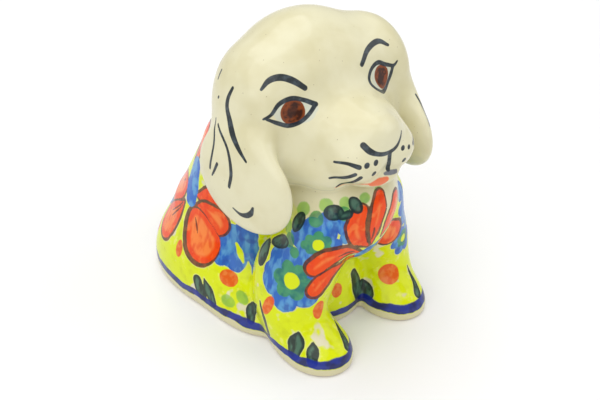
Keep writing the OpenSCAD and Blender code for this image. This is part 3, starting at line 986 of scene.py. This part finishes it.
        line = g.math("ADD", height, g.math("MULTIPLY", g.math("SUBTRACT", wash, 0.5), 3.0))
        line = g.math("ADD", line, g.math("MULTIPLY", shiver, 0.6))
        band = g.math("MULTIPLY", g.ramp(line, BARE_TOP, BARE_TOP + 0.4),
                      g.ramp(line, LINE_TOP, LINE_TOP - 0.5))
        cobalt = g.mix(g.ramp(soft, 0.4, 0.65), COBALT, COBALT_DEEP)
        colour = g.mix(g.math("MULTIPLY", band, 0.97), colour, cobalt)
        bare = g.ramp(line, BARE_TOP + 0.2, BARE_TOP - 0.2)
        colour = g.mix(bare, colour, CREAM_DEEP)
        clay = g.ramp(height, CLAY_TOP, CLAY_TOP - 0.4)
        colour = g.mix(clay, colour, CLAY)
    else:
        clay = None
    if with_face:
        colour = g.mix(near("eye_white", 0.1, 0.2), colour, EYE_WHITE)
        iris = g.mix(g.ramp(brushed, 0.34, 0.58), BROWN_IRIS, BROWN_DARK)
        iris = g.mix(g.ramp(g.attribute("iris"), -1.3, -0.4), iris, BROWN_IRIS)
        iris = g.mix(g.math("MULTIPLY", g.ramp(g.attribute("iris"), -1.8, -3.2), 0.8), iris,
                     BROWN_DARK)
        colour = g.mix(near("iris", 0.2, 0.14), colour, iris)
        colour = g.mix(g.math("MULTIPLY", near("tongue", 0.7, 0.25), 0.9), colour, TONGUE)
        colour = g.mix(g.math("MULTIPLY", near("lip", 0.4, 0.2), 0.9), colour, LIP)

    inks = g.mix(g.ramp(brushed, 0.45, 0.75), INK, INK_THIN)
    colour = g.mix(g.math("MULTIPLY", near("ink", 0.12, 0.1, 0.07), 0.97), colour, inks)

    rough = g.ramp(fine, 0.2, 0.8, 0.26, 0.34)
    if clay is not None:
        rough = g.math("MAXIMUM", rough, g.math("MULTIPLY", clay, 0.8))
    uneven = g.math("ADD", g.noise(place, 0.09, 2.0), g.math("MULTIPLY", grain, 0.012))
    bump = g.node("ShaderNodeBump", {"Strength": 0.35, "Distance": 0.0012, "Height": uneven})
    shader = g.node("ShaderNodeBsdfPrincipled", {
        "Base Color": colour, "Roughness": rough, "IOR": 1.5, "Coat Weight": 0.5,
        "Coat Roughness": 0.05, "Coat IOR": 1.5, "Normal": bump.outputs[0]})
    shader.inputs["Specular IOR Level"].default_value = 0.04
    g.node("ShaderNodeOutputMaterial", {"Surface": shader.outputs[0]})
    return g.material


painted_glaze = glaze("painted_glaze", True, False)
head_glaze = glaze("head_glaze", True, True)
cream_glaze = glaze("cream_glaze", False, True)
GLAZES = {"head": head_glaze, "right_ear": cream_glaze, "left_ear": cream_glaze}

for name, (node, cuts) in PIECES.items():
    piece = cut_piece(name, cuts)
    painted(piece.data, soft_normals(piece.data))
    piece.data.materials.clear()
    piece.data.materials.append(GLAZES.get(node, painted_glaze))
    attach(piece, "root")
    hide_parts(node)

for helper in [o for o in bpy.data.objects if o.name.startswith("cut_")] + [whole]:
    bpy.data.objects.remove(helper)


# ---- studio ----

AIR_STRENGTH = 0.42
LIGHT_AIM = (0, 0, 0.05)
CAMERA_PLACE = (-0.210, -0.266, 0.2596)
AZIMUTH = math.radians(-39.8)
ELEVATION = math.radians(33.4)
FOCAL_LENGTH = 60.0
SENSOR_WIDTH = 36.0
NEAR_CLIP = 0.01

bpy.context.scene.view_settings.view_transform = "Standard"

floor_graph = Graph("studio_floor")
floor_spot = floor_graph.node("ShaderNodeNewGeometry").outputs["Position"]
floor_tone = floor_graph.mix(floor_graph.noise(floor_spot, 3.0, 2.0), (0.92, 0.92, 0.92, 1),
                             (0.9, 0.9, 0.9, 1))
floor_shader = floor_graph.node("ShaderNodeBsdfPrincipled", {
    "Base Color": floor_tone, "Roughness": 0.6, "Specular IOR Level": 0.25})
floor_graph.node("ShaderNodeOutputMaterial", {"Surface": floor_shader.outputs[0]})

SWEEP = [(-3.0, 0.0), (1.4, 0.0), (1.9, 0.08), (2.3, 0.3), (2.55, 0.7), (2.65, 1.3), (2.68, 3.2)]
HALF_FLOOR = 4.0
sweep_points = [(x, y, z) for y, z in SWEEP for x in (-HALF_FLOOR, HALF_FLOOR)]
sweep_faces = [(2 * i, 2 * i + 1, 2 * i + 3, 2 * i + 2) for i in range(len(SWEEP) - 1)]
floor = mesh_object("studio_floor", np.array(sweep_points, float), sweep_faces)
floor.data.materials.append(floor_graph.material)
for facet in floor.data.polygons:
    facet.use_smooth = True

world = bpy.data.worlds.new("studio_air")
bpy.context.scene.world = world
world.use_nodes = True
background = world.node_tree.nodes["Background"]
background.inputs["Color"].default_value = (1, 1, 1, 1)
background.inputs["Strength"].default_value = AIR_STRENGTH


def soft_box(name, place, size, power):
    light = bpy.data.lights.new(name, "AREA")
    light.shape = "RECTANGLE"
    light.size, light.size_y = size
    light.energy = power
    obj = bpy.data.objects.new(name, light)
    bpy.context.scene.collection.objects.link(obj)
    obj.location = place
    obj.rotation_euler = (Vector(LIGHT_AIM) - Vector(place)).to_track_quat("-Z", "Y").to_euler()


soft_box("key_box", (-0.9, -0.5, 1.3), (2.0, 1.8), 16.5)
soft_box("fill_box", (1.1, -0.9, 0.9), (1.2, 1.2), 5.6)
soft_box("top_box", (0.1, 0.5, 1.6), (1.6, 1.4), 12.5)

camera_data = bpy.data.cameras.new("camera")
camera_data.lens = FOCAL_LENGTH
camera_data.sensor_width = SENSOR_WIDTH
camera_data.clip_start = NEAR_CLIP
camera = bpy.data.objects.new("camera", camera_data)
bpy.context.scene.collection.objects.link(camera)
camera.location = CAMERA_PLACE
back = Vector((math.sin(AZIMUTH) * math.cos(ELEVATION),
               -math.cos(AZIMUTH) * math.cos(ELEVATION), math.sin(ELEVATION)))
camera.rotation_euler = (-back).to_track_quat("-Z", "Y").to_euler()
bpy.context.scene.camera = camera
